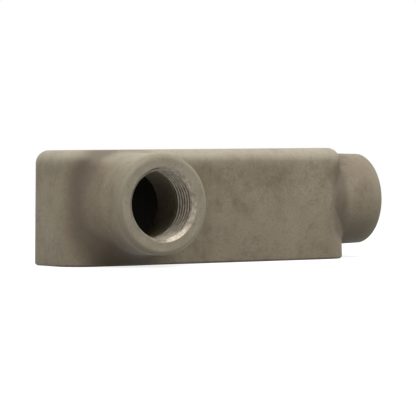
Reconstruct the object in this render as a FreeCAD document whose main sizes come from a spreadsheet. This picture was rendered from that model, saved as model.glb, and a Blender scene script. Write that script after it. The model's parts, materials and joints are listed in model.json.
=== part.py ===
import FreeCAD, Part
import math
import os
import Sketcher

# Conduit body: one sand casting, side-outlet elbow form, for 3/4 inch trade-size conduit.
# Origin: centre of the open face, on its gasket plane. +X runs to the end hub, the side hub
# points along -Y, and +Z runs from the open face up to the rounded back.

DIMENSIONS = {
    # body casting, measured at the gasket plane
    "body_length": 124.0,
    "corner_radius": 12.0,
    "back_radius": 5.0,
    "draft_angle": 1.0,
    "side_wall": 3.2,
    "back_wall": 3.2,
    "cavity_root_radius": 2.5,
    "casting_stock": 12.0,
    "rim_edge_chamfer": 0.7,
    # hubs, measured at their faces; both are cut for one trade size of conduit
    "hub_back_clearance": 1.6,
    "hub_gasket_clearance": 4.4,
    "side_hub_end_margin": 7.2,
    "side_hub_diameter": 37.0,
    "side_hub_reach": 24.25,
    "side_hub_root_radius": 8.5,
    "side_hub_draft_angle": 0.6,
    "end_hub_step": 0.9,
    "end_hub_side_inset": 1.4,
    "end_hub_reach": 15.0,
    "end_hub_root_radius": 1.8,
    "end_hub_draft_angle": 1.6,
    "hub_rim_chamfer": 1.1,
    # bores: mouth chamfer, tapped length, throat, and the cast passage behind it
    "mouth_diameter": 27.6,
    "thread_minor_diameter": 25.0,
    "thread_depth": 12.5,
    "throat_diameter": 24.6,
    "passage_edge_chamfer": 1.2,
    # cover-screw lugs inside the open face
    "screw_from_end": 6.6,
    "screw_bore_diameter": 3.5,
    "screw_bore_depth": 7.0,
    "screw_mouth_chamfer": 0.5,
    "lug_width": 9.0,
    "lug_depth": 8.0,
    "lug_slope_rise": 2.0,
}

# Sizes that follow from the ones above, so that what lines up stays lined up.
DERIVED = {
    # both hub axes lie at one height, and the body just clears the side hub above and below
    "hub_height": "( hub_gasket_clearance + side_hub_diameter / 2 )",
    "body_height": "( hub_height + side_hub_diameter / 2 + hub_back_clearance )",
    # the end hub is a little slimmer, and almost flush with the body's sides
    "end_hub_diameter": "( side_hub_diameter - 2 * end_hub_step )",
    "body_width": "( end_hub_diameter + 2 * end_hub_side_inset )",
    # the side hub keeps its margin from the closed end, whatever its diameter
    "side_hub_x": "( side_hub_end_margin + side_hub_diameter / 2 - body_length / 2 )",
    "side_face_y": "( 0 - body_width / 2 - side_hub_reach )",
    "end_face_x": "( body_length / 2 + end_hub_reach )",
    "screw_x": "( body_length / 2 - screw_from_end )",
}

X_AXIS = FreeCAD.Vector(1, 0, 0)
Y_AXIS = FreeCAD.Vector(0, 1, 0)
Z_AXIS = FreeCAD.Vector(0, 0, 1)

document = FreeCAD.newDocument("conduit_body")


def make_spreadsheet():
    """Write each driving dimension as a plain number with an alias, in millimetres or degrees."""
    sheet = document.addObject("Spreadsheet::Sheet", "dimensions")
    for row, (name, number) in enumerate(DIMENSIONS.items(), start=1):
        sheet.set(f"A{row}", name)
        sheet.set(f"B{row}", str(number))
        sheet.setAlias(f"B{row}", name)
    document.recompute()


def bound(expression):
    """Spell out derived sizes, and point each driving dimension at its spreadsheet cell."""
    words = []
    for word in expression.split(" "):
        if word in DERIVED:
            word = bound(DERIVED[word])
        elif word in DIMENSIONS:
            word = "dimensions." + word
        words.append(word)
    return " ".join(words)


def bind(item, **expressions):
    """Bind properties of a feature or sketch to expressions of the driving dimensions."""
    for path, expression in expressions.items():
        item.setExpression(path, bound(expression))


def add_body(name):
    body = document.addObject("PartDesign::Body", name)
    body.Label = name
    body.Placement = FreeCAD.Placement()
    return body


def add_sketch(body, name, plane_role, **offset):
    """Add a sketch on one of the body's own origin planes, moved by bound offsets x, y, z."""
    plane = next(item for item in body.Origin.OriginFeatures if item.Role == plane_role)
    sketch = body.newObject("Sketcher::SketchObject", name)
    sketch.AttachmentSupport = [(plane, "")]
    sketch.MapMode = "FlatFace"
    for direction, expression in offset.items():
        sketch.setExpression("AttachmentOffset.Base." + direction, bound(expression))
    return sketch


def dimension(sketch, kind, expression, *references):
    """Add one driving constraint and bind it to an expression."""
    index = sketch.addConstraint(Sketcher.Constraint(kind, *references, 1.0))
    sketch.setExpression(f"Constraints[{index}]", bound(expression))


def draw_circle(sketch, across, up, diameter):
    circle = Part.Circle(FreeCAD.Vector(5, 5, 0), FreeCAD.Vector(0, 0, 1), 5)
    index = sketch.addGeometry(circle)
    if across == "0":
        sketch.addConstraint(Sketcher.Constraint("PointOnObject", index, 3, -2))
    else:
        dimension(sketch, "DistanceX", across, -1, 1, index, 3)
    if up == "0":
        sketch.addConstraint(Sketcher.Constraint("PointOnObject", index, 3, -1))
    else:
        dimension(sketch, "DistanceY", up, -1, 1, index, 3)
    dimension(sketch, "Diameter", diameter, index)


def draw_polygon(sketch, corners):
    """Draw a closed outline whose corners each sit at two bound distances from the origin."""
    count = len(corners)
    turn = 2 * math.pi / count
    guess = [FreeCAD.Vector(30 + 9 * math.cos(turn * k), 30 + 9 * math.sin(turn * k), 0)
             for k in range(count)]
    for k in range(count):
        sketch.addGeometry(Part.LineSegment(guess[k], guess[(k + 1) % count]))
    for k in range(count):
        sketch.addConstraint(Sketcher.Constraint("Coincident", k, 2, (k + 1) % count, 1))
    for k, (across, up) in enumerate(corners):
        if across == "0":
            sketch.addConstraint(Sketcher.Constraint("PointOnObject", k, 1, -2))
        else:
            dimension(sketch, "DistanceX", across, -1, 1, k, 1)
        if up == "0":
            sketch.addConstraint(Sketcher.Constraint("PointOnObject", k, 1, -1))
        else:
            dimension(sketch, "DistanceY", up, -1, 1, k, 1)


def draw_rounded_rectangle(sketch, length, width, radius):
    """Draw a rectangle centred on the origin with four equal tangent corner arcs."""
    half_length = DIMENSIONS["body_length"] / 2
    half_width = DIMENSIONS["side_hub_diameter"] / 2
    corner = DIMENSIONS["corner_radius"] / 2
    inner_x = half_length - corner
    inner_y = half_width - corner
    normal = FreeCAD.Vector(0, 0, 1)
    centres = [(inner_x, inner_y), (-inner_x, inner_y), (-inner_x, -inner_y), (inner_x, -inner_y)]
    for k, (x, y) in enumerate(centres):
        circle = Part.Circle(FreeCAD.Vector(x, y, 0), normal, corner)
        sketch.addGeometry(Part.ArcOfCircle(circle, k * math.pi / 2, (k + 1) * math.pi / 2))
    ends = [((inner_x, half_width), (-inner_x, half_width)),
            ((-half_length, inner_y), (-half_length, -inner_y)),
            ((-inner_x, -half_width), (inner_x, -half_width)),
            ((half_length, -inner_y), (half_length, inner_y))]
    for start, end in ends:
        sketch.addGeometry(Part.LineSegment(FreeCAD.Vector(*start, 0), FreeCAD.Vector(*end, 0)))
    for k in range(4):
        sketch.addConstraint(Sketcher.Constraint("Tangent", k, 2, 4 + k, 1))
        sketch.addConstraint(Sketcher.Constraint("Tangent", 4 + k, 2, (k + 1) % 4, 1))
    for k in (4, 6):
        sketch.addConstraint(Sketcher.Constraint("Horizontal", k))
    for k in (5, 7):
        sketch.addConstraint(Sketcher.Constraint("Vertical", k))
    for k in range(1, 4):
        sketch.addConstraint(Sketcher.Constraint("Equal", 0, k))
    sketch.addConstraint(Sketcher.Constraint("Symmetric", 0, 3, 2, 3, -1, 1))
    dimension(sketch, "Radius", radius, 0)
    dimension(sketch, "DistanceX", length, 5, 1, 7, 1)
    dimension(sketch, "DistanceY", width, 6, 1, 4, 1)


def add_feature(body, kind, name, sketch, **expressions):
    """Add a sketch-based feature whose sizes are bound to the driving dimensions."""
    feature = body.newObject("PartDesign::" + kind, name)
    feature.Profile = sketch
    sketch.Visibility = False
    bind(feature, **expressions)
    return feature


def is_flat(face, direction):
    """True for a plane square to the direction, whichever way it faces."""
    if type(face.Surface).__name__ != "Plane":
        return False
    return abs(face.Surface.Axis.dot(direction)) > 0.99999


def is_round(face, direction):
    """True for a cylinder or cone about an axis along the direction."""
    if type(face.Surface).__name__ not in ("Cylinder", "Cone"):
        return False
    return abs(face.Surface.Axis.dot(direction)) > 0.99999


def edge_names(shape, chosen):
    """Name the edges whose two faces the test picks, in either order."""
    names = []
    for number, edge in enumerate(shape.Edges, start=1):
        faces = shape.ancestorsOfType(edge, Part.Face)
        if len(faces) != 2:
            continue
        if chosen(faces[0], faces[1]) or chosen(faces[1], faces[0]):
            names.append(f"Edge{number}")
    return names


def add_dressing(body, kind, name, chosen, **expressions):
    """Round or bevel the edges that a test on their two faces picks."""
    base = body.Tip
    document.recompute()
    names = edge_names(base.Shape, chosen)
    if not names:
        raise ValueError(f"{name}: no edge found")
    feature = body.newObject("PartDesign::" + kind, name)
    feature.Base = (base, names)
    bind(feature, **expressions)
    document.recompute()
    return feature


def add_draft(body, name, chosen):
    """Lean the faces that a test picks, keeping their outline where they cross the gasket plane."""
    base = body.Tip
    document.recompute()
    names = [f"Face{number}" for number, face in enumerate(base.Shape.Faces, start=1)
             if chosen(face)]
    gasket_plane = next(item for item in body.Origin.OriginFeatures if item.Role == "XY_Plane")
    draft = body.newObject("PartDesign::Draft", name)
    draft.Base = (base, names)
    draft.NeutralPlane = (gasket_plane, [""])
    bind(draft, Angle="draft_angle")
    document.recompute()
    return draft


def middle(face):
    """A point inside the face's extent, for telling like faces apart."""
    return face.BoundBox.Center


def add_casting(body):
    """Pad the drafted block with its rounded back, standing below the gasket plane for now."""
    outline = add_sketch(body, "body_outline", "XY_Plane", z="0 - casting_stock")
    draw_rounded_rectangle(outline, "body_length", "body_width", "corner_radius")
    body.Tip = add_feature(body, "Pad", "body_block", outline,
                           Length="body_height + casting_stock")
    add_draft(body, "body_draft", lambda face: not is_flat(face, Z_AXIS))
    add_dressing(body, "Fillet", "rounded_back",
                 lambda back, side: is_flat(back, Z_AXIS) and middle(back).z > 0,
                 Radius="back_radius")


def add_hub(body, name, sketch, reach, axis):
    """Pad one drafted hub out of the body and blend its root into the walls."""
    body.Tip = add_feature(body, "Pad", name, sketch, Length=reach,
                           TaperAngle="0 - " + name + "_draft_angle")
    add_dressing(body, "Fillet", name + "_root",
                 lambda hub, wall: (is_round(hub, axis) and not is_flat(wall, axis)
                                    and not hub.isSame(wall)),
                 Radius=name + "_root_radius")


def add_hubs(body):
    """Add the side hub near the closed end and the end hub at the other."""
    growth = "{0}_diameter + 2 * tan( {0}_draft_angle * 1 deg ) * {1}"
    side_reach = "( side_hub_reach + side_wall )"
    side_circle = add_sketch(body, "side_hub_circle", "XZ_Plane", z="body_width / 2 - side_wall")
    draw_circle(side_circle, "side_hub_x", "hub_height", growth.format("side_hub", side_reach))
    add_hub(body, "side_hub", side_circle, side_reach, Y_AXIS)

    end_reach = "( end_hub_reach + corner_radius )"
    end_circle = add_sketch(body, "end_hub_circle", "YZ_Plane", z="body_length / 2 - corner_radius")
    draw_circle(end_circle, "0", "hub_height", growth.format("end_hub", end_reach))
    add_hub(body, "end_hub", end_circle, end_reach, X_AXIS)


def machine_gasket_face(body):
    """Cut away everything below the gasket plane, as the face mill does."""
    stock = add_sketch(body, "gasket_cut_outline", "XY_Plane")
    draw_polygon(stock, [("0 - end_face_x", "side_face_y"),
                         ("end_face_x", "side_face_y"),
                         ("end_face_x", "0 - side_face_y"),
                         ("0 - end_face_x", "0 - side_face_y")])
    body.Tip = add_feature(body, "Pocket", "gasket_face", stock, Length="casting_stock + 1")


def hollow_out(body):
    """Cut the cavity up from the open face, leaving even walls and a rounded back corner."""
    outline = add_sketch(body, "cavity_outline", "XY_Plane")
    draw_rounded_rectangle(outline, "body_length - 2 * side_wall", "body_width - 2 * side_wall",
                           "corner_radius - side_wall")
    cavity = add_feature(body, "Pocket", "cavity", outline,
                         Length="body_height - back_wall", TaperAngle="0 - draft_angle")
    cavity.Reversed = True
    body.Tip = cavity
    document.recompute()
    flats = [face for face in cavity.Shape.Faces if is_flat(face, Z_AXIS)]
    levels = sorted(middle(face).z for face in flats)
    inner_level = levels[-2]
    add_dressing(body, "Fillet", "cavity_root",
                 lambda floor, wall: is_flat(floor, Z_AXIS) and middle(floor).z == inner_level,
                 Radius="cavity_root_radius")


def add_screw_lugs(body):
    """Add one round-nosed lug at each end of the opening and bore it for its cover screw."""
    profile = add_sketch(body, "lug_profile", "XZ_Plane", z="0 - lug_width / 2")
    wall = "body_length / 2 - side_wall / 2"
    nose = "screw_x - lug_width / 2"
    draw_polygon(profile, [(nose, "0"), (wall, "0"),
                           (wall, "lug_depth + lug_slope_rise"), (nose, "lug_depth")])
    lug = add_feature(body, "Pad", "screw_lug", profile, Length="lug_width")
    mirror_plane = next(item for item in body.Origin.OriginFeatures if item.Role == "YZ_Plane")
    pair = body.newObject("PartDesign::Mirrored", "screw_lug_pair")
    pair.Originals = [lug]
    pair.MirrorPlane = (mirror_plane, [""])
    body.Tip = pair
    add_dressing(body, "Fillet", "lug_noses",
                 lambda nose_face, side: is_flat(nose_face, X_AXIS) and is_flat(side, Y_AXIS),
                 Radius="lug_width / 2 - 0.1")

    centres = add_sketch(body, "screw_centres", "XY_Plane")
    for across in ("screw_x", "0 - screw_x"):
        draw_circle(centres, across, "0", "screw_bore_diameter")
    bores = add_feature(body, "Pocket", "screw_bores", centres, Length="screw_bore_depth")
    bores.Reversed = True
    body.Tip = bores
    width = float(DIMENSIONS["lug_width"])
    add_dressing(body, "Chamfer", "screw_mouths",
                 lambda bore, rim: (is_round(bore, Z_AXIS) and bore.BoundBox.YLength < width / 2
                                    and is_flat(rim, Z_AXIS) and abs(middle(rim).z) < 0.01),
                 Size="screw_mouth_chamfer")


def bore_hub(body, name, offset, turn, passage_end):
    """Turn the mouth, tapped length, throat and cast passage of one hub as a single groove."""
    profile = add_sketch(body, name + "_bore_profile", "XY_Plane", **offset)
    profile.AttachmentOffset = FreeCAD.Placement(FreeCAD.Vector(), FreeCAD.Rotation(Z_AXIS, turn))
    draw_polygon(profile, [("0", "0"),
                           ("mouth_diameter / 2", "0"),
                           ("thread_minor_diameter / 2",
                            "( mouth_diameter - thread_minor_diameter ) / 2"),
                           ("thread_minor_diameter / 2", "thread_depth"),
                           ("throat_diameter / 2",
                            "thread_depth + ( thread_minor_diameter - throat_diameter ) / 2"),
                           ("throat_diameter / 2", passage_end),
                           ("0", passage_end)])
    groove = add_feature(body, "Groove", name + "_bore", profile)
    groove.ReferenceAxis = (profile, ["V_Axis"])
    groove.Angle = 360
    body.Tip = groove


def bore_hubs(body):
    """Bore both hubs from their faces into the cavity and break the side passage's edge."""
    bore_hub(body, "side_hub", {"x": "side_hub_x", "y": "side_face_y", "z": "hub_height"},
             0, "side_hub_reach + body_width / 2")
    bore_hub(body, "end_hub", {"x": "end_face_x", "z": "hub_height"},
             90, "end_hub_reach + corner_radius")
    throat = float(DIMENSIONS["throat_diameter"])
    add_dressing(body, "Chamfer", "passage_edge",
                 lambda passage, wall: (is_round(passage, Y_AXIS) and not is_round(wall, Y_AXIS)
                                        and abs(passage.BoundBox.ZLength - throat) < 0.1),
                 Size="passage_edge_chamfer")


def break_rims(body):
    """Bevel the outer edge of both hub faces and of the gasket face."""
    mouth = float(DIMENSIONS["mouth_diameter"])
    for name, axis in (("side_hub_rim", Y_AXIS), ("end_hub_rim", X_AXIS)):
        add_dressing(body, "Chamfer", name,
                     lambda hub, front: (is_round(hub, axis) and is_flat(front, axis)
                                         and hub.BoundBox.ZLength > mouth + 1),
                     Size="hub_rim_chamfer")
    document.recompute()
    gasket = [face for face in body.Tip.Shape.Faces
              if is_flat(face, Z_AXIS) and abs(middle(face).z) < 0.01]
    outline = max(gasket, key=lambda face: face.Area).OuterWire

    def on_outline(gasket_face, wall):
        shared = [edge for edge in wall.Edges
                  if any(edge.isSame(outer) for outer in outline.Edges)]
        return is_flat(gasket_face, Z_AXIS) and bool(shared)

    add_dressing(body, "Chamfer", "gasket_rim", on_outline, Size="rim_edge_chamfer")


def make_conduit_body():
    body = add_body("conduit_body")
    add_casting(body)
    add_hubs(body)
    machine_gasket_face(body)
    hollow_out(body)
    add_screw_lugs(body)
    bore_hubs(body)
    break_rims(body)
    return body


def check_document():
    """Stop if any feature failed or gave a broken shape."""
    for item in document.Objects:
        if "Invalid" in item.State or "Error" in item.State:
            raise ValueError(f"{item.Name}: {item.State}")
        if item.isDerivedFrom("PartDesign::Feature"):
            if item.Shape.isNull() or not item.Shape.isValid():
                raise ValueError(f"{item.Name}: broken shape")


make_spreadsheet()
conduit_body = make_conduit_body()
document.recompute()
check_document()
os.makedirs("parts", exist_ok=True)
conduit_body.Shape.exportStep(f"parts/{conduit_body.Label}.step")
points, facets = conduit_body.Shape.tessellate(0.05)
length, width, height = (max(values) - min(values) for values in zip(*points))
print(f"{conduit_body.Label}: {length:.2f} x {width:.2f} x {height:.2f} mm, "
      f"{conduit_body.Shape.Volume / 1000:.2f} cm3, {len(conduit_body.Shape.Solids)} solid")
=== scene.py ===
"""Looks of a cast conduit body: sand-cast skin under a matte coat, cut threads, camera and stage."""
import json
import math

import bmesh
import bpy
from bpy.props import FloatProperty, FloatVectorProperty, IntProperty, PointerProperty
from mathutils import Matrix, Vector


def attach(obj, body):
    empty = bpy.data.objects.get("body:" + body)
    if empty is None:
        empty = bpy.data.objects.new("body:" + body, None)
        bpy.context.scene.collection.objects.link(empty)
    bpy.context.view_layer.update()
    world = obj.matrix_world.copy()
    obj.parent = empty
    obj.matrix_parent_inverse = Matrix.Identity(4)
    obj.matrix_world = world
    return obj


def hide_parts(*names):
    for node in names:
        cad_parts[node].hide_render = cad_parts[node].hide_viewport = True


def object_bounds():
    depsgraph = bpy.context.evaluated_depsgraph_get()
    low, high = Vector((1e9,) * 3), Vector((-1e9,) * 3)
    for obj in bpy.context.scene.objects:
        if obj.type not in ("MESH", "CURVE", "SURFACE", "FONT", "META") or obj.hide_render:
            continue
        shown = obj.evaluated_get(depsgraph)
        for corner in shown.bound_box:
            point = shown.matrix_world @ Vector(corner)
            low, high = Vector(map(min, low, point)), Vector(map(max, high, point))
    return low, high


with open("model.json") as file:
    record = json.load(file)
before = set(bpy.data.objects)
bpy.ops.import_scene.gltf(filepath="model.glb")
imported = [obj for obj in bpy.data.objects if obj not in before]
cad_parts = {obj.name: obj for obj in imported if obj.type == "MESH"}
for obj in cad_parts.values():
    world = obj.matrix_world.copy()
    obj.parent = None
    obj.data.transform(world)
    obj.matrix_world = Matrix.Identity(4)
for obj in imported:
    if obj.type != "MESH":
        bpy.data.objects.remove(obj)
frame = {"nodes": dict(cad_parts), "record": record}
CAD_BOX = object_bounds()
MOUNTS = {mount["name"]: mount for mount in frame["record"]["mounts"]}
MM = 0.001
HUBS = ("side_hub_thread", "end_hub_thread")
WALL = 3.2 * MM           # of the body
CAVITY_CORNER = 8.8 * MM  # seen from the open face
RIM_CHAMFER = 0.7 * MM    # round the open face
MOUTH_CHAMFER = 1.3 * MM  # from each thread's outer end to its hub's face
NEAR = 0.05 * MM          # slack in telling which surface a face belongs to
LAMPS = {  # name: place, width and watts
    "overhead": ((0.0, -0.3, 0.88), 0.8, 9.3),
    "left_front": ((-0.92, -0.12, 0.5), 0.7, 5.0),
    "right_front": ((0.8, -0.75, 0.5), 0.7, 5.6),
}

bl_info = {
    "name": "Cast Conduit Body",
    "version": (1, 0, 0),
    "blender": (4, 5, 0),
    "location": "View3D > Sidebar > Conduit Body",
    "description": "Cuts the hub threads, gives the casting its coat and sets a plain stage",
    "category": "Object",
}


def linear(hex_colour):
    """An sRGB hex colour as the linear red, green, blue and alpha that shaders take."""
    values = [int(hex_colour[k:k + 2], 16) / 255 for k in (1, 3, 5)]
    return (*[v / 12.92 if v <= 0.04045 else ((v + 0.055) / 1.055) ** 2.4 for v in values], 1.0)


# ---------------------------------------------------------------- settings


class ThreadSettings(bpy.types.PropertyGroup):
    pitch: FloatProperty(
        name="Pitch", description="Distance between turns: 14 turns to the inch",
        default=25.4 * MM / 14, unit="LENGTH")
    depth: FloatProperty(
        name="Depth", description="How far the groove goes into the bore's wall",
        default=0.6 * MM, unit="LENGTH")
    root_flat: FloatProperty(
        name="Root flat", description="Width of the groove's narrow end",
        default=0.35 * MM, unit="LENGTH")
    start_angle: FloatProperty(
        name="Start angle", description="Where round the bore the groove starts",
        default=math.pi, unit="ROTATION")
    segments: IntProperty(
        name="Segments", description="Straight pieces to each turn", default=72, min=24)


class RimSettings(bpy.types.PropertyGroup):
    radius: FloatProperty(
        name="Radius", description="Rounding of the outer edge of both hub faces",
        default=1.95 * MM, unit="LENGTH")
    steps: IntProperty(
        name="Steps", description="Flats across the rounding", default=8, min=3)
    segments: IntProperty(
        name="Segments", description="Straight pieces round the rim", default=120, min=24)


class FinishSettings(bpy.types.PropertyGroup):
    coat: FloatVectorProperty(
        name="Coat", description="Main colour of the matte coat", subtype="COLOR", size=4,
        min=0, max=1, default=linear("#7E7462"))
    coat_dark: FloatVectorProperty(
        name="Stain", description="Where the coat is thin or dirty", subtype="COLOR", size=4,
        min=0, max=1, default=linear("#665B49"))
    coat_light: FloatVectorProperty(
        name="Chalky coat", description="Where the coat is thick and dry", subtype="COLOR", size=4,
        min=0, max=1, default=linear("#8A8270"))
    face: FloatVectorProperty(
        name="Turned face", description="Hub faces, coated over a turned surface",
        subtype="COLOR", size=4, min=0, max=1, default=linear("#7D7563"))
    thread: FloatVectorProperty(
        name="Cut thread", description="Bare metal of the cut thread", subtype="COLOR", size=4,
        min=0, max=1, default=linear("#938B7C"))
    # raw skin colour, made darker still as painted shade in the cavity
    inside: FloatVectorProperty(
        name="Inside", description="Raw cast skin of the cavity", subtype="COLOR", size=4,
        min=0, max=1, default=linear("#211D17"))


class StageSettings(bpy.types.PropertyGroup):
    target: FloatVectorProperty(
        name="Target", description="The point that the camera looks at",
        default=(7.56 * MM, 0, 20.28 * MM), subtype="TRANSLATION", unit="LENGTH")
    azimuth: FloatProperty(
        name="Azimuth", description="Camera's angle round the body, from straight in front",
        default=math.radians(-30.37), unit="ROTATION")
    elevation: FloatProperty(
        name="Elevation", description="Camera's angle above the horizon",
        default=math.radians(1.24), unit="ROTATION")
    roll: FloatProperty(
        name="Roll", description="Camera's turn about its own line of sight",
        default=math.radians(-0.5), unit="ROTATION")
    distance: FloatProperty(
        name="Distance", description="Camera to the point it looks at", default=1.017,
        unit="LENGTH")
    lens: FloatProperty(name="Lens", description="Focal length in millimetres", default=229.0)


# ---------------------------------------------------------------- small tools


def settings():
    """The scene's thread, rim, finish and stage settings."""
    scene = bpy.context.scene
    return scene.conduit_thread, scene.conduit_rim, scene.conduit_finish, scene.conduit_stage


def deselect_all():
    if bpy.context.object and bpy.context.object.mode != "OBJECT":
        bpy.ops.object.mode_set(mode="OBJECT")
    bpy.ops.object.select_all(action="DESELECT")


def select_only(piece):
    deselect_all()
    piece.select_set(True)
    bpy.context.view_layer.objects.active = piece


def apply_modifier(piece, name, kind, **options):
    """Add one modifier with its settings and apply it."""
    select_only(piece)
    modifier = piece.modifiers.new(name, kind)
    for option, setting in options.items():
        setattr(modifier, option, setting)
    bpy.ops.object.modifier_apply(modifier=modifier.name)


def cut_away(piece, cutter):
    """Subtract the cutter from the piece and delete it."""
    apply_modifier(piece, "cut", "BOOLEAN", operation="DIFFERENCE", solver="EXACT", object=cutter)
    bpy.data.objects.remove(cutter, do_unlink=True)


def hub_frame(mount):
    """Matrix whose +Z runs out of the hub's mouth, with its origin at the inner end of the thread."""
    outward = Vector(mount["axis"]).normalized()
    inner_end = Vector(mount["pos_m"]) - outward * mount["dims"]["length_mm"] * MM / 2
    return Matrix.Translation(inner_end) @ outward.to_track_quat("Z", "Y").to_matrix().to_4x4()


# ---------------------------------------------------------------- materials


def add_node(owner, kind, inputs=(), output=0, stops=(), **options):
    """Add one shader node to a material or world and return one of its outputs.

    Inputs are linked where they are sockets and set where they are values. Stops are the places
    and colours along a colour ramp.
    """
    node = owner.node_tree.nodes.new("ShaderNode" + kind)
    for option, setting in options.items():
        setattr(node, option, setting)
    for key, source in dict(inputs).items():
        if isinstance(source, bpy.types.NodeSocket):
            owner.node_tree.links.new(source, node.inputs[key])
        else:
            node.inputs[key].default_value = source
    for count, (position, colour) in enumerate(stops):
        elements = node.color_ramp.elements
        element = elements[count] if count < len(elements) else elements.new(position)
        element.position = position
        element.color = colour
    return node.outputs[output]


def new_material(name, roughness, metallic=0.0):
    """A material with its Principled shader and object coordinates ready."""
    material = bpy.data.materials.new(name)
    material.use_nodes = True
    shader = material.node_tree.nodes["Principled BSDF"]
    shader.inputs["Roughness"].default_value = roughness
    shader.inputs["Metallic"].default_value = metallic
    place = add_node(material, "TexCoord", output="Object")
    return material, shader, place


def dress(material, shader, base, layers, reliefs):
    """Give the shader a base colour under its layers, and small reliefs laid over each other.

    A layer is how much of it shows, its colour and how it blends. A relief is its pattern, its
    depth and how strongly it shows.
    """
    colour = base
    for share, layer, blend in layers:
        colour = add_node(material, "Mix", {0: share, 6: colour, 7: layer}, 2,
                          data_type="RGBA", blend_type=blend)
    material.node_tree.links.new(colour, shader.inputs["Base Color"])
    below = {}
    for pattern, depth, strength in reliefs:
        normal = add_node(material, "Bump", {"Height": pattern, "Distance": depth,
                                             "Strength": strength, **below})
        below = {"Normal": normal}
    material.node_tree.links.new(normal, shader.inputs["Normal"])


def seen_directly(owner):
    """1 for rays from the camera, a mirror or glass, and 0 for the rays that light things."""
    path = add_node(owner, "LightPath").node.outputs
    total = path["Is Camera Ray"]
    for name in ("Is Glossy Ray", "Is Transmission Ray"):
        total = add_node(owner, "Math", {0: total, 1: path[name]}, operation="MAXIMUM")
    return total


def from_hub(material, place, mount):
    """How far a place lies past the middle of a hub's thread, and how far from its axis."""
    away = add_node(material, "VectorMath", {0: place, 1: mount["pos_m"]}, operation="SUBTRACT")
    past = add_node(material, "VectorMath", {0: away, 1: mount["axis"]}, "Value",
                    operation="DOT_PRODUCT")
    square = [1 - abs(part) for part in mount["axis"]]
    sideways = add_node(material, "VectorMath", {0: away, 1: square}, operation="MULTIPLY")
    across = add_node(material, "VectorMath", {0: sideways}, "Value", operation="LENGTH")
    return past, across


def within(material, *limits):
    """1 where every value is at its first limit or past it, fading to 0 at its second."""
    whole = 1.0
    for value, full, none in limits:
        part = add_node(material, "MapRange", {0: value, 1: full, 2: none, 3: 1.0, 4: 0.0},
                        interpolation_type="SMOOTHSTEP")
        whole = add_node(material, "Math", {0: whole, 1: part}, operation="MULTIPLY")
    return whole


def root_stain_and_shade(material, place, ragged):
    """How much stain and painted shade lie in both hub roots, and painted shadow under the hubs."""
    side, end = (MOUNTS[name] for name in HUBS)
    past_side, across_side = from_hub(material, place, side)
    past_end, across_end = from_hub(material, place, end)
    spot = add_node(material, "SeparateXYZ", {0: place}).node.outputs
    side_x, end_z = side["pos_m"][0], end["pos_m"][2]
    wobble = add_node(material, "Math", {0: ragged, 1: 7 * MM, 2: -3.5 * MM},
                      operation="MULTIPLY_ADD")
    ragged_past, ragged_across = (add_node(material, "Math", {0: value, 1: wobble})
                                  for value in (past_side, across_side))
    # stains and painted shade in the valley round the side hub's root, with a ragged edge
    side_band = within(material, (ragged_past, -10.5 * MM, -3.5 * MM),
                       (past_side, -20 * MM, -27 * MM),
                       (ragged_across, 23 * MM, 33 * MM), (ragged_across, 21 * MM, 17.5 * MM),
                       (spot["X"], side_x - 2 * MM, side_x + 16 * MM))
    # stains and painted shade along the crease at the end hub's root
    end_line = within(material, (past_end, -12.3 * MM, -8 * MM), (past_end, -14.5 * MM, -19 * MM),
                      (across_end, 20.5 * MM, 23.5 * MM))
    # painted shadow under the side hub
    shadow_under_side = within(material, (across_side, 19 * MM, 25 * MM),
                        (past_side, -20 * MM, -27 * MM), (spot["Z"], 3 * MM, 15 * MM))
    # painted shade on the lower side of the end hub
    shade_under_end = within(material, (past_end, -8 * MM, -12 * MM),
                       (spot["Z"], end_z - 14 * MM, end_z - 2 * MM))
    total = 0.0
    for part, share in ((side_band, 1.0), (end_line, 0.9), (shadow_under_side, 0.8), (shade_under_end, 0.8)):
        total = add_node(material, "Math", {0: part, 1: share, 2: total},
                         operation="MULTIPLY_ADD", use_clamp=True)
    return total


def worn_and_lit_back(material, place, patch, stain_and_shade):
    """Worn coat and painted highlight on the back and its edges, by patches, less where darkened."""
    height = add_node(material, "SeparateXYZ", {0: place}, "Z")
    past_end, _ = from_hub(material, place, MOUNTS["end_hub_thread"])
    back = CAD_BOX[1][2]
    # pale band along the back: painted highlight from the light above, and coat worn on the edges
    worn_and_lit = within(material, (height, back - 0.5 * MM, back - 8 * MM),
                    (past_end, -14 * MM, -8 * MM))
    patchy = add_node(material, "Math", {0: patch, 1: 0.45})
    # the pale stays off the stains and painted shade
    clear_of_stain_and_shade = add_node(material, "Math", {0: stain_and_shade, 1: -0.6, 2: 0.75}, operation="MULTIPLY_ADD",
                     use_clamp=True)
    for part in (patchy, clear_of_stain_and_shade):
        worn_and_lit = add_node(material, "Math", {0: worn_and_lit, 1: part}, operation="MULTIPLY",
                          use_clamp=True)
    return worn_and_lit


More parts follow.
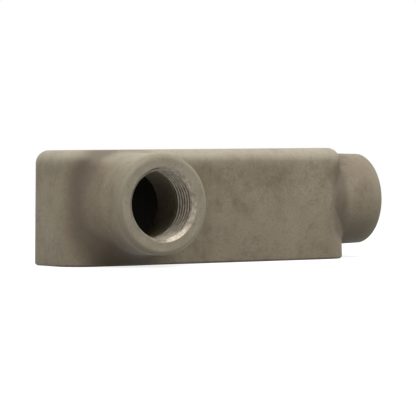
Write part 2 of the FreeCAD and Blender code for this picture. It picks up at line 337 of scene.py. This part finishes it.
def sand_cast_coat(finish):
    """Sprayed matte coat on iron cast in green sand.

    Sand grains about half a millimetre across leave a fine dark speckle, drawn at 0.75 mm, as
    coarse as it needs to show. The thin coat pools and yellows in broad patches. Stains and
    painted shade darken the hub roots, painted shadow lies under the hubs, and painted shade
    darkens the body towards the open edge. The back is pale with worn coat and painted
    highlight. Towards each hub's face the coat turns to the colour of the face.
    """
    material, shader, place = new_material("sand_cast_matte_coat", 0.62)
    shader.inputs["Specular IOR Level"].default_value = 0.35
    broad = add_node(material, "TexNoise", {
        "Vector": place, "Scale": 1 / (24 * MM), "Detail": 4.0, "Roughness": 0.6})
    stained = add_node(material, "ValToRGB", {0: broad}, stops=(
        (0.34, finish.coat_dark), (0.5, finish.coat), (0.7, finish.coat_light)))
    patch = add_node(material, "TexNoise", {
        "Vector": place, "Scale": 1 / (5 * MM), "Detail": 5.0, "Roughness": 0.7})
    patchy = add_node(material, "ValToRGB", {0: patch}, stops=(
        (0.3, linear("#D2CCBF")), (0.5, linear("#FFFFFF")), (0.72, linear("#FFFCEC"))))
    grain = add_node(material, "TexNoise", {
        "Vector": place, "Scale": 1 / (0.75 * MM), "Detail": 3.0, "Roughness": 0.75})
    speckle = add_node(material, "ValToRGB", {0: grain}, stops=(
        (0.3, linear("#8F887C")), (0.47, linear("#F1EEE8")), (0.7, linear("#FFFFFF"))))
    # dark brown for stains and painted shade at the hubs, and painted shade near the open edge
    stain_and_shade_colour = linear("#4F4436")
    stain_and_shade = root_stain_and_shade(material, place, broad)
    uneven = add_node(material, "Math", {0: patch, 1: 0.5, 2: 0.55}, operation="MULTIPLY_ADD")
    stained_and_shaded = add_node(material, "Math", {0: stain_and_shade, 1: uneven}, operation="MULTIPLY", use_clamp=True)
    height = add_node(material, "SeparateXYZ", {0: place}, "Z")
    # painted shade: the body grows darker towards its open edge at the bottom
    low = within(material, (height, -4 * MM, 32 * MM))
    painted_shade_low = add_node(material, "Math", {0: low, 1: 0.24}, operation="MULTIPLY")
    worn_and_lit = worn_and_lit_back(material, place, patch, stain_and_shade)
    # dark layers are stains with painted shade; the pale layer is worn coat with painted highlight
    layers = [(0.8, stained, "MIX"), (0.7, patchy, "MULTIPLY"), (0.5, speckle, "MULTIPLY"),
              (stained_and_shaded, stain_and_shade_colour, "MIX"), (painted_shade_low, stain_and_shade_colour, "MIX"), (worn_and_lit, linear("#9E9785"), "MIX")]
    for name in HUBS:
        mount = MOUNTS[name]
        past, across = from_hub(material, place, mount)
        bore = mount["dims"]["r_mm"] * MM
        face_level = mount["dims"]["length_mm"] / 2 * MM + MOUTH_CHAMFER
        rim = within(material, (past, face_level, 0), (across, bore + 2 * MM, bore + 1 * MM))
        layers.append((rim, finish.face, "MIX"))
    reliefs = ((broad, 0.5 * MM, 0.2), (patch, 0.14 * MM, 0.5), (grain, 0.09 * MM, 0.8))
    dress(material, shader, finish.coat, layers, reliefs)
    return material


def turned_face(finish):
    """Hub face turned square in a lathe and then coated: smoother than the cast skin, with pits."""
    material, shader, place = new_material("turned_and_coated_face", 0.55)
    patch = add_node(material, "TexNoise", {
        "Vector": place, "Scale": 1 / (4.5 * MM), "Detail": 4.0, "Roughness": 0.6})
    coat = add_node(material, "ValToRGB", {0: patch}, stops=(
        (0.3, linear("#746C5A")), (0.55, finish.face), (0.75, linear("#8A826E"))))
    speck = add_node(material, "TexNoise", {
        "Vector": place, "Scale": 1 / (0.9 * MM), "Detail": 2.0, "Roughness": 0.7})
    specks = add_node(material, "ValToRGB", {0: speck}, stops=(
        (0.3, linear("#7A7366")), (0.42, linear("#FFFFFF"))))
    grain = add_node(material, "TexNoise", {
        "Vector": place, "Scale": 1 / (0.7 * MM), "Detail": 2.0, "Roughness": 0.6})
    dress(material, shader, coat, [(0.6, specks, "MULTIPLY")], [(grain, 0.05 * MM, 0.6)])
    return material


def cut_thread(finish):
    """Iron cut by a tap, then dulled by the coat's overspray: streaky, with a soft metal glint."""
    material, shader, place = new_material("tapped_iron_thread", 0.4, 0.6)
    streak = add_node(material, "TexNoise", {
        "Vector": place, "Scale": 1 / (1.6 * MM), "Detail": 3.0, "Roughness": 0.6})
    metal = add_node(material, "ValToRGB", {0: streak}, stops=(
        (0.3, linear("#6E6555")), (0.6, finish.thread), (0.8, linear("#A79F8D"))))
    dress(material, shader, metal, [], [(streak, 0.03 * MM, 0.5)])
    return material


def raw_inside_in_shade(finish):
    """Raw sand-core skin inside: darker and coarser than outside, and darker still as painted shade."""
    material, shader, place = new_material("raw_core_skin_in_shade", 0.8)
    shader.inputs["Specular IOR Level"].default_value = 0.3
    patch = add_node(material, "TexNoise", {
        "Vector": place, "Scale": 1 / (5 * MM), "Detail": 4.0, "Roughness": 0.6})
    # dark ramp round the inside colour: raw skin darkened further as painted shade
    skin = add_node(material, "ValToRGB", {0: patch}, stops=(
        (0.3, linear("#191611")), (0.6, finish.inside), (0.8, linear("#2C271F"))))
    grain = add_node(material, "TexNoise", {
        "Vector": place, "Scale": 1 / (1.1 * MM), "Detail": 3.0, "Roughness": 0.7})
    dress(material, shader, skin, [], [(grain, 0.15 * MM, 0.8)])
    return material


# ---------------------------------------------------------------- the casting


def copy_of_casting():
    """A merged copy of the CAD casting, with its own mesh, ready to be cut."""
    source = frame["nodes"]["conduit_body"]
    casting = source.copy()
    casting.data = source.data.copy()
    casting.name = "cast_body"
    casting.data.name = "cast_body"
    casting.parent = None
    casting.data.materials.clear()
    bpy.context.scene.collection.objects.link(casting)
    select_only(casting)
    bpy.ops.object.mode_set(mode="EDIT")
    bpy.ops.mesh.select_all(action="SELECT")
    bpy.ops.mesh.remove_doubles(threshold=0.002 * MM)
    bpy.ops.mesh.customdata_custom_splitnormals_clear()
    bpy.ops.object.mode_set(mode="OBJECT")
    return casting


def thread_cutter(mount, thread):
    """The coil of metal that a tap takes out: a tapering groove swept along a right-hand helix."""
    bore = mount["dims"]["r_mm"] * MM
    length = mount["dims"]["length_mm"] * MM
    overlap = 0.25 * MM
    flank = math.radians(30)
    mouth_width = thread.root_flat + 2 * (thread.depth + overlap) * math.tan(flank)
    deselect_all()
    bpy.ops.mesh.primitive_plane_add(size=1, rotation=(math.pi / 2, 0, 0))
    cutter = bpy.context.object
    cutter.name = "thread_cutter"
    bpy.ops.object.transform_apply(location=False, rotation=True, scale=False)
    bpy.ops.object.mode_set(mode="EDIT")
    bpy.ops.mesh.select_all(action="SELECT")
    bpy.ops.transform.resize(value=(thread.depth + overlap, 1, mouth_width))
    middle = bore - overlap + (thread.depth + overlap) / 2
    bpy.ops.transform.translate(value=(middle, 0, 0))
    mesh = bmesh.from_edit_mesh(cutter.data)
    for vertex in mesh.verts:
        vertex.select = vertex.co.x > bore
    mesh.select_flush_mode()
    bmesh.update_edit_mesh(cutter.data)
    bpy.ops.transform.resize(value=(1, 1, thread.root_flat / mouth_width),
                             center_override=(bore + thread.depth, 0, 0))
    bpy.ops.mesh.select_all(action="SELECT")
    bpy.ops.mesh.delete(type="ONLY_FACE")
    bpy.ops.object.mode_set(mode="OBJECT")
    turns = math.ceil(length / thread.pitch)
    apply_modifier(cutter, "helix", "SCREW", axis="Z", angle=math.tau,
                   screw_offset=thread.pitch, iterations=turns, steps=thread.segments,
                   render_steps=thread.segments, use_merge_vertices=False)
    bpy.ops.object.mode_set(mode="EDIT")
    bpy.ops.mesh.select_all(action="DESELECT")
    bpy.ops.mesh.select_non_manifold()
    bpy.ops.mesh.fill_holes(sides=4)
    bpy.ops.mesh.select_all(action="SELECT")
    bpy.ops.mesh.normals_make_consistent(inside=False)
    bpy.ops.object.mode_set(mode="OBJECT")
    start = Matrix.Rotation(thread.start_angle, 4, "Z") @ Matrix.Translation((0, 0, mouth_width / 2))
    cutter.data.transform(hub_frame(mount) @ start)
    return cutter


def hub_outside(casting, mount):
    """Distance to the hub's face from its thread's inner end, and the hub's radius behind the rim."""
    to_hub = hub_frame(mount).inverted()
    places = [to_hub @ vertex.co for vertex in casting.data.vertices]
    face_level = max(place.z for place in places)
    rim_depth = 2 * MM
    rim = [place for place in places if face_level - rim_depth < place.z]
    return face_level, max(math.hypot(place.x, place.y) for place in rim)


def rim_cutter(casting, mount, rim):
    """The ring of metal outside a quarter round on the hub's outer edge, as a form tool takes off."""
    face_level, outside = hub_outside(casting, mount)
    depth = 1.5 * rim.radius
    spare = 1.5 * MM
    deselect_all()
    bpy.ops.mesh.primitive_cylinder_add(
        vertices=rim.segments, radius=outside + spare, depth=depth,
        location=(0, 0, face_level + spare - depth / 2))
    cutter = bpy.context.object
    cutter.name = "rim_cutter"
    bpy.ops.object.transform_apply(location=True, rotation=False, scale=False)
    deselect_all()
    bpy.ops.mesh.primitive_cylinder_add(
        vertices=rim.segments, radius=outside, depth=2 * depth,
        location=(0, 0, face_level - depth))
    core = bpy.context.object
    bpy.ops.object.transform_apply(location=True, rotation=False, scale=False)
    bpy.ops.object.mode_set(mode="EDIT")
    bpy.ops.mesh.select_all(action="DESELECT")
    mesh = bmesh.from_edit_mesh(core.data)
    for edge in mesh.edges:
        edge.select = all(vertex.co.z > face_level - NEAR for vertex in edge.verts)
    bmesh.update_edit_mesh(core.data)
    bpy.ops.mesh.bevel(offset=rim.radius, segments=rim.steps, affect="EDGES")
    bpy.ops.object.mode_set(mode="OBJECT")
    cut_away(cutter, core)
    cutter.data.transform(hub_frame(mount))
    return cutter


def in_cavity(place):
    """Whether a place is on the cavity's own skin: within its rounded plan, behind the open face."""
    low, high = CAD_BOX
    wall = WALL - NEAR
    half_sizes = (-low[0] - wall, high[1] - wall)
    beyond = [max(abs(along) - (half - CAVITY_CORNER), 0) for along, half in zip(place, half_sizes)]
    return math.hypot(*beyond) < CAVITY_CORNER and RIM_CHAMFER + NEAR < place.z < high[2] - wall


class CONDUIT_OT_cast_body(bpy.types.Operator):
    """Copy the casting, cut both threads into its bores and give each surface its finish"""
    bl_idname = "conduit.cast_body"
    bl_label = "Cast Body"

    def execute(self, context):
        thread, rim, finish, _ = settings()
        casting = copy_of_casting()
        for name in HUBS:
            cut_away(casting, rim_cutter(casting, MOUNTS[name], rim))
            cut_away(casting, thread_cutter(MOUNTS[name], thread))
        self.assign_finishes(casting, finish)
        select_only(casting)
        sharpest_smooth = math.radians(32)
        bpy.ops.object.shade_smooth_by_angle(angle=sharpest_smooth)
        apply_modifier(casting, "even_shading", "WEIGHTED_NORMAL", keep_sharp=True, weight=80)
        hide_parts("conduit_body")
        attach(casting, "root")
        return {"FINISHED"}

    def assign_finishes(self, casting, finish):
        """Coat outside, turned hub faces, cut threads, and raw skin in painted shade inside, by place."""
        for material in (sand_cast_coat(finish), turned_face(finish), cut_thread(finish),
                         raw_inside_in_shade(finish)):
            casting.data.materials.append(material)
        coat, face_coat, thread, inside = range(4)
        hubs = [(MOUNTS[name], hub_frame(MOUNTS[name]).inverted()) for name in HUBS]
        face_width = 6 * MM
        for face in casting.data.polygons:
            face.material_index = inside if in_cavity(face.center) else coat
            for mount, to_hub in hubs:
                place = to_hub @ face.center
                across = math.hypot(place.x, place.y)
                bore = mount["dims"]["r_mm"] * MM
                length = mount["dims"]["length_mm"] * MM
                if across < bore + MOUTH_CHAMFER + NEAR and place.z > -NEAR:
                    face.material_index = thread
                elif across < bore + face_width and place.z > length + MOUTH_CHAMFER - NEAR:
                    face.material_index = face_coat


# ---------------------------------------------------------------- the stage


class CONDUIT_OT_stage(bpy.types.Operator):
    """Set a plain pale floor and backdrop, soft lamps and the camera"""
    bl_idname = "conduit.stage"
    bl_label = "Stage"

    def execute(self, context):
        *_, stage = settings()
        self.add_floor()
        self.add_room()
        self.add_lamps()
        self.add_camera(stage)
        context.scene.view_settings.view_transform = "Standard"
        return {"FINISHED"}

    def add_floor(self):
        """A pale floor just below the casting, white to the eye, which keeps the casting's shadow."""
        deselect_all()
        bpy.ops.mesh.primitive_plane_add(size=1.3, location=(0, 0, -0.1 * MM))
        floor = bpy.context.object
        floor.name = "floor"
        material, shader, _ = new_material("pale_floor", 0.9)
        shader.inputs["Base Color"].default_value = linear("#989898")
        plain = shader.outputs[0]
        glow = add_node(material, "Emission", {"Color": (1, 1, 1, 1), "Strength": 0.75})
        lifted = add_node(material, "AddShader", {0: plain, 1: glow})
        seen = add_node(material, "MixShader", {0: seen_directly(material), 1: plain, 2: lifted})
        surface = material.node_tree.nodes["Material Output"].inputs["Surface"]
        material.node_tree.links.new(seen, surface)
        floor.data.materials.append(material)

    def add_room(self):
        """Even pale light all round, and pure white where it is looked at or mirrored."""
        room = bpy.data.worlds.new("pale_room")
        bpy.context.scene.world = room
        room.use_nodes = True
        nodes = room.node_tree.nodes
        soft = nodes["Background"]
        soft.inputs["Color"].default_value = (1, 1, 1, 1)
        soft.inputs["Strength"].default_value = 0.22
        white = add_node(room, "Background", {"Color": (1, 1, 1, 1), "Strength": 1.0})
        seen = add_node(room, "MixShader", {0: seen_directly(room), 1: soft.outputs[0], 2: white})
        room.node_tree.links.new(seen, nodes["World Output"].inputs["Surface"])

    def add_lamps(self):
        """A broad lamp overhead, and two from the front, at the left and the right."""
        for name, (place, width, watts) in LAMPS.items():
            deselect_all()
            bpy.ops.object.light_add(type="AREA", location=place)
            lamp = bpy.context.object
            lamp.name = name
            lamp.data.size = width
            lamp.data.energy = watts
            lamp.rotation_mode = "QUATERNION"
            lamp.rotation_quaternion = (-Vector(place)).to_track_quat("-Z", "Y")

    def add_camera(self, stage):
        """A long lens, turned round the target and looking at it."""
        back = Vector((math.sin(stage.azimuth) * math.cos(stage.elevation),
                       -math.cos(stage.azimuth) * math.cos(stage.elevation),
                       math.sin(stage.elevation)))
        deselect_all()
        bpy.ops.object.camera_add(location=Vector(stage.target) + back * stage.distance)
        camera = bpy.context.object
        camera.data.lens = stage.lens
        camera.data.sensor_width = 36
        camera.rotation_mode = "QUATERNION"
        turn = Matrix.Rotation(stage.roll, 4, "Z").to_quaternion()
        camera.rotation_quaternion = (-back).to_track_quat("-Z", "Y") @ turn
        bpy.context.scene.camera = camera


# ---------------------------------------------------------------- panel and registration


class CONDUIT_PT_panel(bpy.types.Panel):
    """Buttons for the casting and the stage"""
    bl_idname = "CONDUIT_PT_panel"
    bl_label = "Conduit Body"
    bl_space_type = "VIEW_3D"
    bl_region_type = "UI"
    bl_category = "Conduit Body"

    def draw(self, context):
        for operator in OPERATORS:
            self.layout.operator(operator.bl_idname)
        for group in settings():
            box = self.layout.box()
            for name in group.__annotations__:
                box.prop(group, name)


GROUPS = {"conduit_thread": ThreadSettings, "conduit_rim": RimSettings,
          "conduit_finish": FinishSettings, "conduit_stage": StageSettings}
OPERATORS = (CONDUIT_OT_cast_body, CONDUIT_OT_stage)


def register():
    for kind in (*GROUPS.values(), *OPERATORS, CONDUIT_PT_panel):
        bpy.utils.register_class(kind)
    for name, kind in GROUPS.items():
        setattr(bpy.types.Scene, name, PointerProperty(type=kind))


def unregister():
    for name in GROUPS:
        delattr(bpy.types.Scene, name)
    for kind in reversed((*GROUPS.values(), *OPERATORS, CONDUIT_PT_panel)):
        bpy.utils.unregister_class(kind)


def main():
    register()
    bpy.ops.conduit.cast_body()
    bpy.ops.conduit.stage()


if __name__ == "__main__":
    main()
